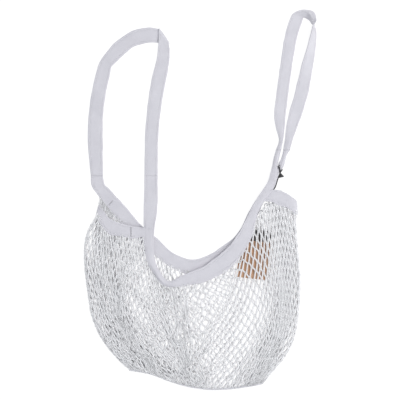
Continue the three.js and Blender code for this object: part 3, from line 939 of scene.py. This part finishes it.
def make_net(name, net, seed, node):
    """Zigzag yarns down the layer, each side of a mesh column, tied together at the knots."""
    r = np.random.default_rng(seed)
    shapes = []
    floor = YARN_RADIUS + 0.05
    for column in range(net.count + 1):
        for way in (-1, 1):
            points = []
            for j in range(ROWS + 1):
                i = column if j % 2 == 0 else (column if way > 0 else column - 1)
                at = net.index.get((i, j))
                if at is None:
                    points = None
                    break
                inside = -way if j % 2 else way
                knot = net.points[at] + np.array([0.62 * inside, 0.0, 0.25 * way])
                if points:
                    inward = min(net.columns[at], net.count - net.columns[at])
                    room = min(0.15 + 0.6 * inward, 1.0)
                    turn = r.choice([-1, 1]) * r.uniform(0.4, 0.75)
                    points.extend(yarn_side(points[-1], knot, turn, r.uniform(-0.35, 0.45), room))
                points.append(knot)
            if not points:
                continue
            line = np.array(points)
            line[1:-1] = line[1:-1] * 0.6 + (line[:-2] + line[2:]) * 0.2
            line[:, 2] = np.maximum(line[:, 2], floor)
            shapes.append(tube(line, YARN_RADIUS * r.uniform(0.92, 1.08), 6, squash_z=YARN_FLATNESS))
    dress(joined(name + "_yarn", shapes), YARN, "net_yarn", "bag", node)
    knots = [knot_shape(place, r.uniform(0, np.pi), floor)
             for place, row in zip(net.points, net.rows) if row not in (0, ROWS)]
    dress(joined(name + "_knots", knots), YARN, "net_yarn", "bag")


def knot_shape(place, turn, floor):
    """A small wound knot: a flattened ball with a waist."""
    rings, sides = 4, 7
    vertices = []
    for i in range(rings):
        lat = (i + 0.5) / rings * math.pi
        for k in range(sides):
            a = 2 * math.pi * k / sides + turn
            r = KNOT_RADIUS * math.sin(lat) * (1 + 0.12 * math.cos(2 * a))
            x, y, z = r * math.cos(a), KNOT_RADIUS * 1.1 * math.cos(lat), 0.8 * r * math.sin(a)
            vertices.append((place[0] + x, place[1] + y, max(place[2] + z, floor - 0.6)))
    faces = grid_faces(rings, sides)
    faces.append(tuple(range(sides))[::-1])
    faces.append(tuple((rings - 1) * sides + k for k in range(sides)))
    uv = np.stack([np.repeat(np.arange(rings), sides), np.tile(np.arange(sides) / sides, rings)], axis=1)
    return np.array(vertices), faces, uv


front_net = Net(FRONT_GUIDES, FRONT_CREASES, 101, (0.12, 0.12))
front_net.lift(8.0, 0.5, 111, edge_z=4.4, mouth_z=F - 0.2, seam_z=4.2)
back_net = Net(BACK_GUIDES, BACK_CREASES, 201, (0.3, 0.3), over=front_net)
back_net.lift(2.0, 0.35, 211, edge_z=3.2, mouth_z=B + 0.1, seam_z=2.6)
make_net("front_net", front_net, 301, "net_front")
make_net("back_net", back_net, 401, "net_back")


# ---------------------------------------------------------------- bottom seam
def bottom_seam():
    """An overlocked edge: a padded core wound with slanting thread."""
    low, high = (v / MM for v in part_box("bottom_seam"))
    ends = [g[0][-1] for g in FRONT_GUIDES]
    core = smooth([(x, y - 0.6, 3.2) for x, y in ends], 2.0)
    core[:, 1] = np.maximum(core[:, 1], low.y + 2.0)
    core[:, 2] += 0.3 * value_noise(along(core), 5, 12)
    shapes = [tube(core, 1.7, 10, squash_z=1.1)]
    s = along(core)
    turns = int(s[-1] / 1.9)
    t = np.linspace(0, 1, turns * 8)
    middle = at_shares(core, t)
    tangent = unit(np.gradient(middle, axis=0))
    side = unit(np.cross(tangent, [0, 0, 1.0]))
    a = 2 * np.pi * turns * t
    wound = middle + side * (1.95 * np.cos(a))[:, None] + np.array([0, 0, 1.0]) * (2.1 * np.sin(a))[:, None]
    shapes.append(tube(wound, 0.32, 5))
    seam = joined("bottom_seam_overlock", shapes)
    return dress(seam, THREAD, "cotton_thread", "bag", "bottom_seam")


bottom_seam()


# ---------------------------------------------------------------- stage and light
def stage():
    size = 6.0
    mesh = bpy.data.meshes.new("floor")
    mesh.from_pydata([(-size, -size, 0), (size, -size, 0), (size, size, 0), (-size, size, 0)], [], [(0, 1, 2, 3)])
    floor = bpy.data.objects.new("floor", mesh)
    bpy.context.scene.collection.objects.link(floor)
    m = Nodes("floor")
    m.set(Base_Color=(0.25, 0.25, 0.25, 1), Roughness=0.9, Specular_IOR_Level=0.1)
    m.set(Emission_Color=(1, 1, 1, 1), Emission_Strength=0.85)
    floor.data.materials.append(m.material)


def light(name, place, size, power, tint):
    data = bpy.data.lights.new(name, "AREA")
    data.shape = "DISK"
    data.size = size
    data.energy = power
    data.color = tint
    lamp = bpy.data.objects.new(name, data)
    lamp.location = place
    lamp.rotation_euler = (-Vector(place)).to_track_quat("-Z", "Y").to_euler()
    bpy.context.scene.collection.objects.link(lamp)


stage()
light("key", (1.4, 0.5, 2.0), 1.4, 26.0, (1.0, 0.99, 0.98))
light("fill", (0.3, -1.2, 2.2), 1.8, 6.0, (0.97, 0.98, 1.0))
world = bpy.data.worlds.new("world")
world.use_nodes = True
world.node_tree.nodes["Background"].inputs["Color"].default_value = (0.93, 0.95, 1.0, 1)
world.node_tree.nodes["Background"].inputs["Strength"].default_value = 0.58
bpy.context.scene.world = world
bpy.context.scene.view_settings.view_transform = "Standard"
